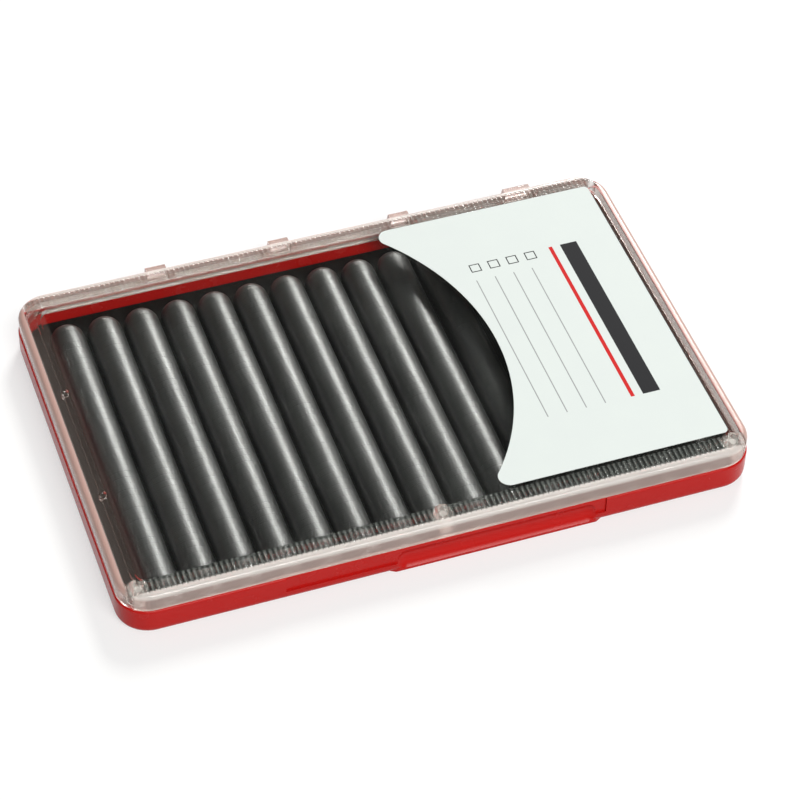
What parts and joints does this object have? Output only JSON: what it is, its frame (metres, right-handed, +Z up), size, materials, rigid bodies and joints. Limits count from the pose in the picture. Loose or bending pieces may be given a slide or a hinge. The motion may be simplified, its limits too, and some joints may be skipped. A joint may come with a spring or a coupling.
{
  "type": "fly box",
  "caption": "Slim fishing fly box: opaque tray with half-round slit foam rows, and a clear lid on rear hinge pins that sets a tongue inside the tray wall.",
  "frame": {"origin": "centre of the tray's flat underside", "axes": "+X along the front edge to the right, +Y to the hinge side, +Z up through the lid"},
  "size_m": [0.19, 0.1299, 0.0153],
  "materials": {
    "tray_red": "satin moulded plastic",
    "lid_clear": "clear polished plastic",
    "label_white": "smooth white sticker film",
    "foam_black": "closed-cell foam with a smooth skin",
    "pin_steel": "drawn wire"
  },
  "bodies": {
    "tray": {"base_tray": "tray_red", "foam_sheet": "foam_black", "foam_row_01": "foam_black", "foam_row_02": "foam_black", "foam_row_03": "foam_black", "foam_row_04": "foam_black", "foam_row_05": "foam_black", "foam_row_06": "foam_black", "foam_row_07": "foam_black", "foam_row_08": "foam_black", "foam_row_09": "foam_black", "foam_row_10": "foam_black", "foam_row_11": "foam_black", "foam_row_12": "foam_black", "foam_row_13": "foam_black", "foam_row_14": "foam_black", "foam_row_15": "foam_black", "hinge_pin_1": "pin_steel", "hinge_pin_2": "pin_steel", "hinge_pin_3": "pin_steel", "hinge_pin_4": "pin_steel"},
    "lid": {"lid": "lid_clear", "label": "label_white"}
  },
  "joints": [
    {"name": "lid_hinge", "type": "hinge", "parent": "tray", "child": "lid", "pos_m": [0, 0.0651, 0.0088], "axis": [-1, 0, 0], "range_deg": [0, 180]}
  ]
}
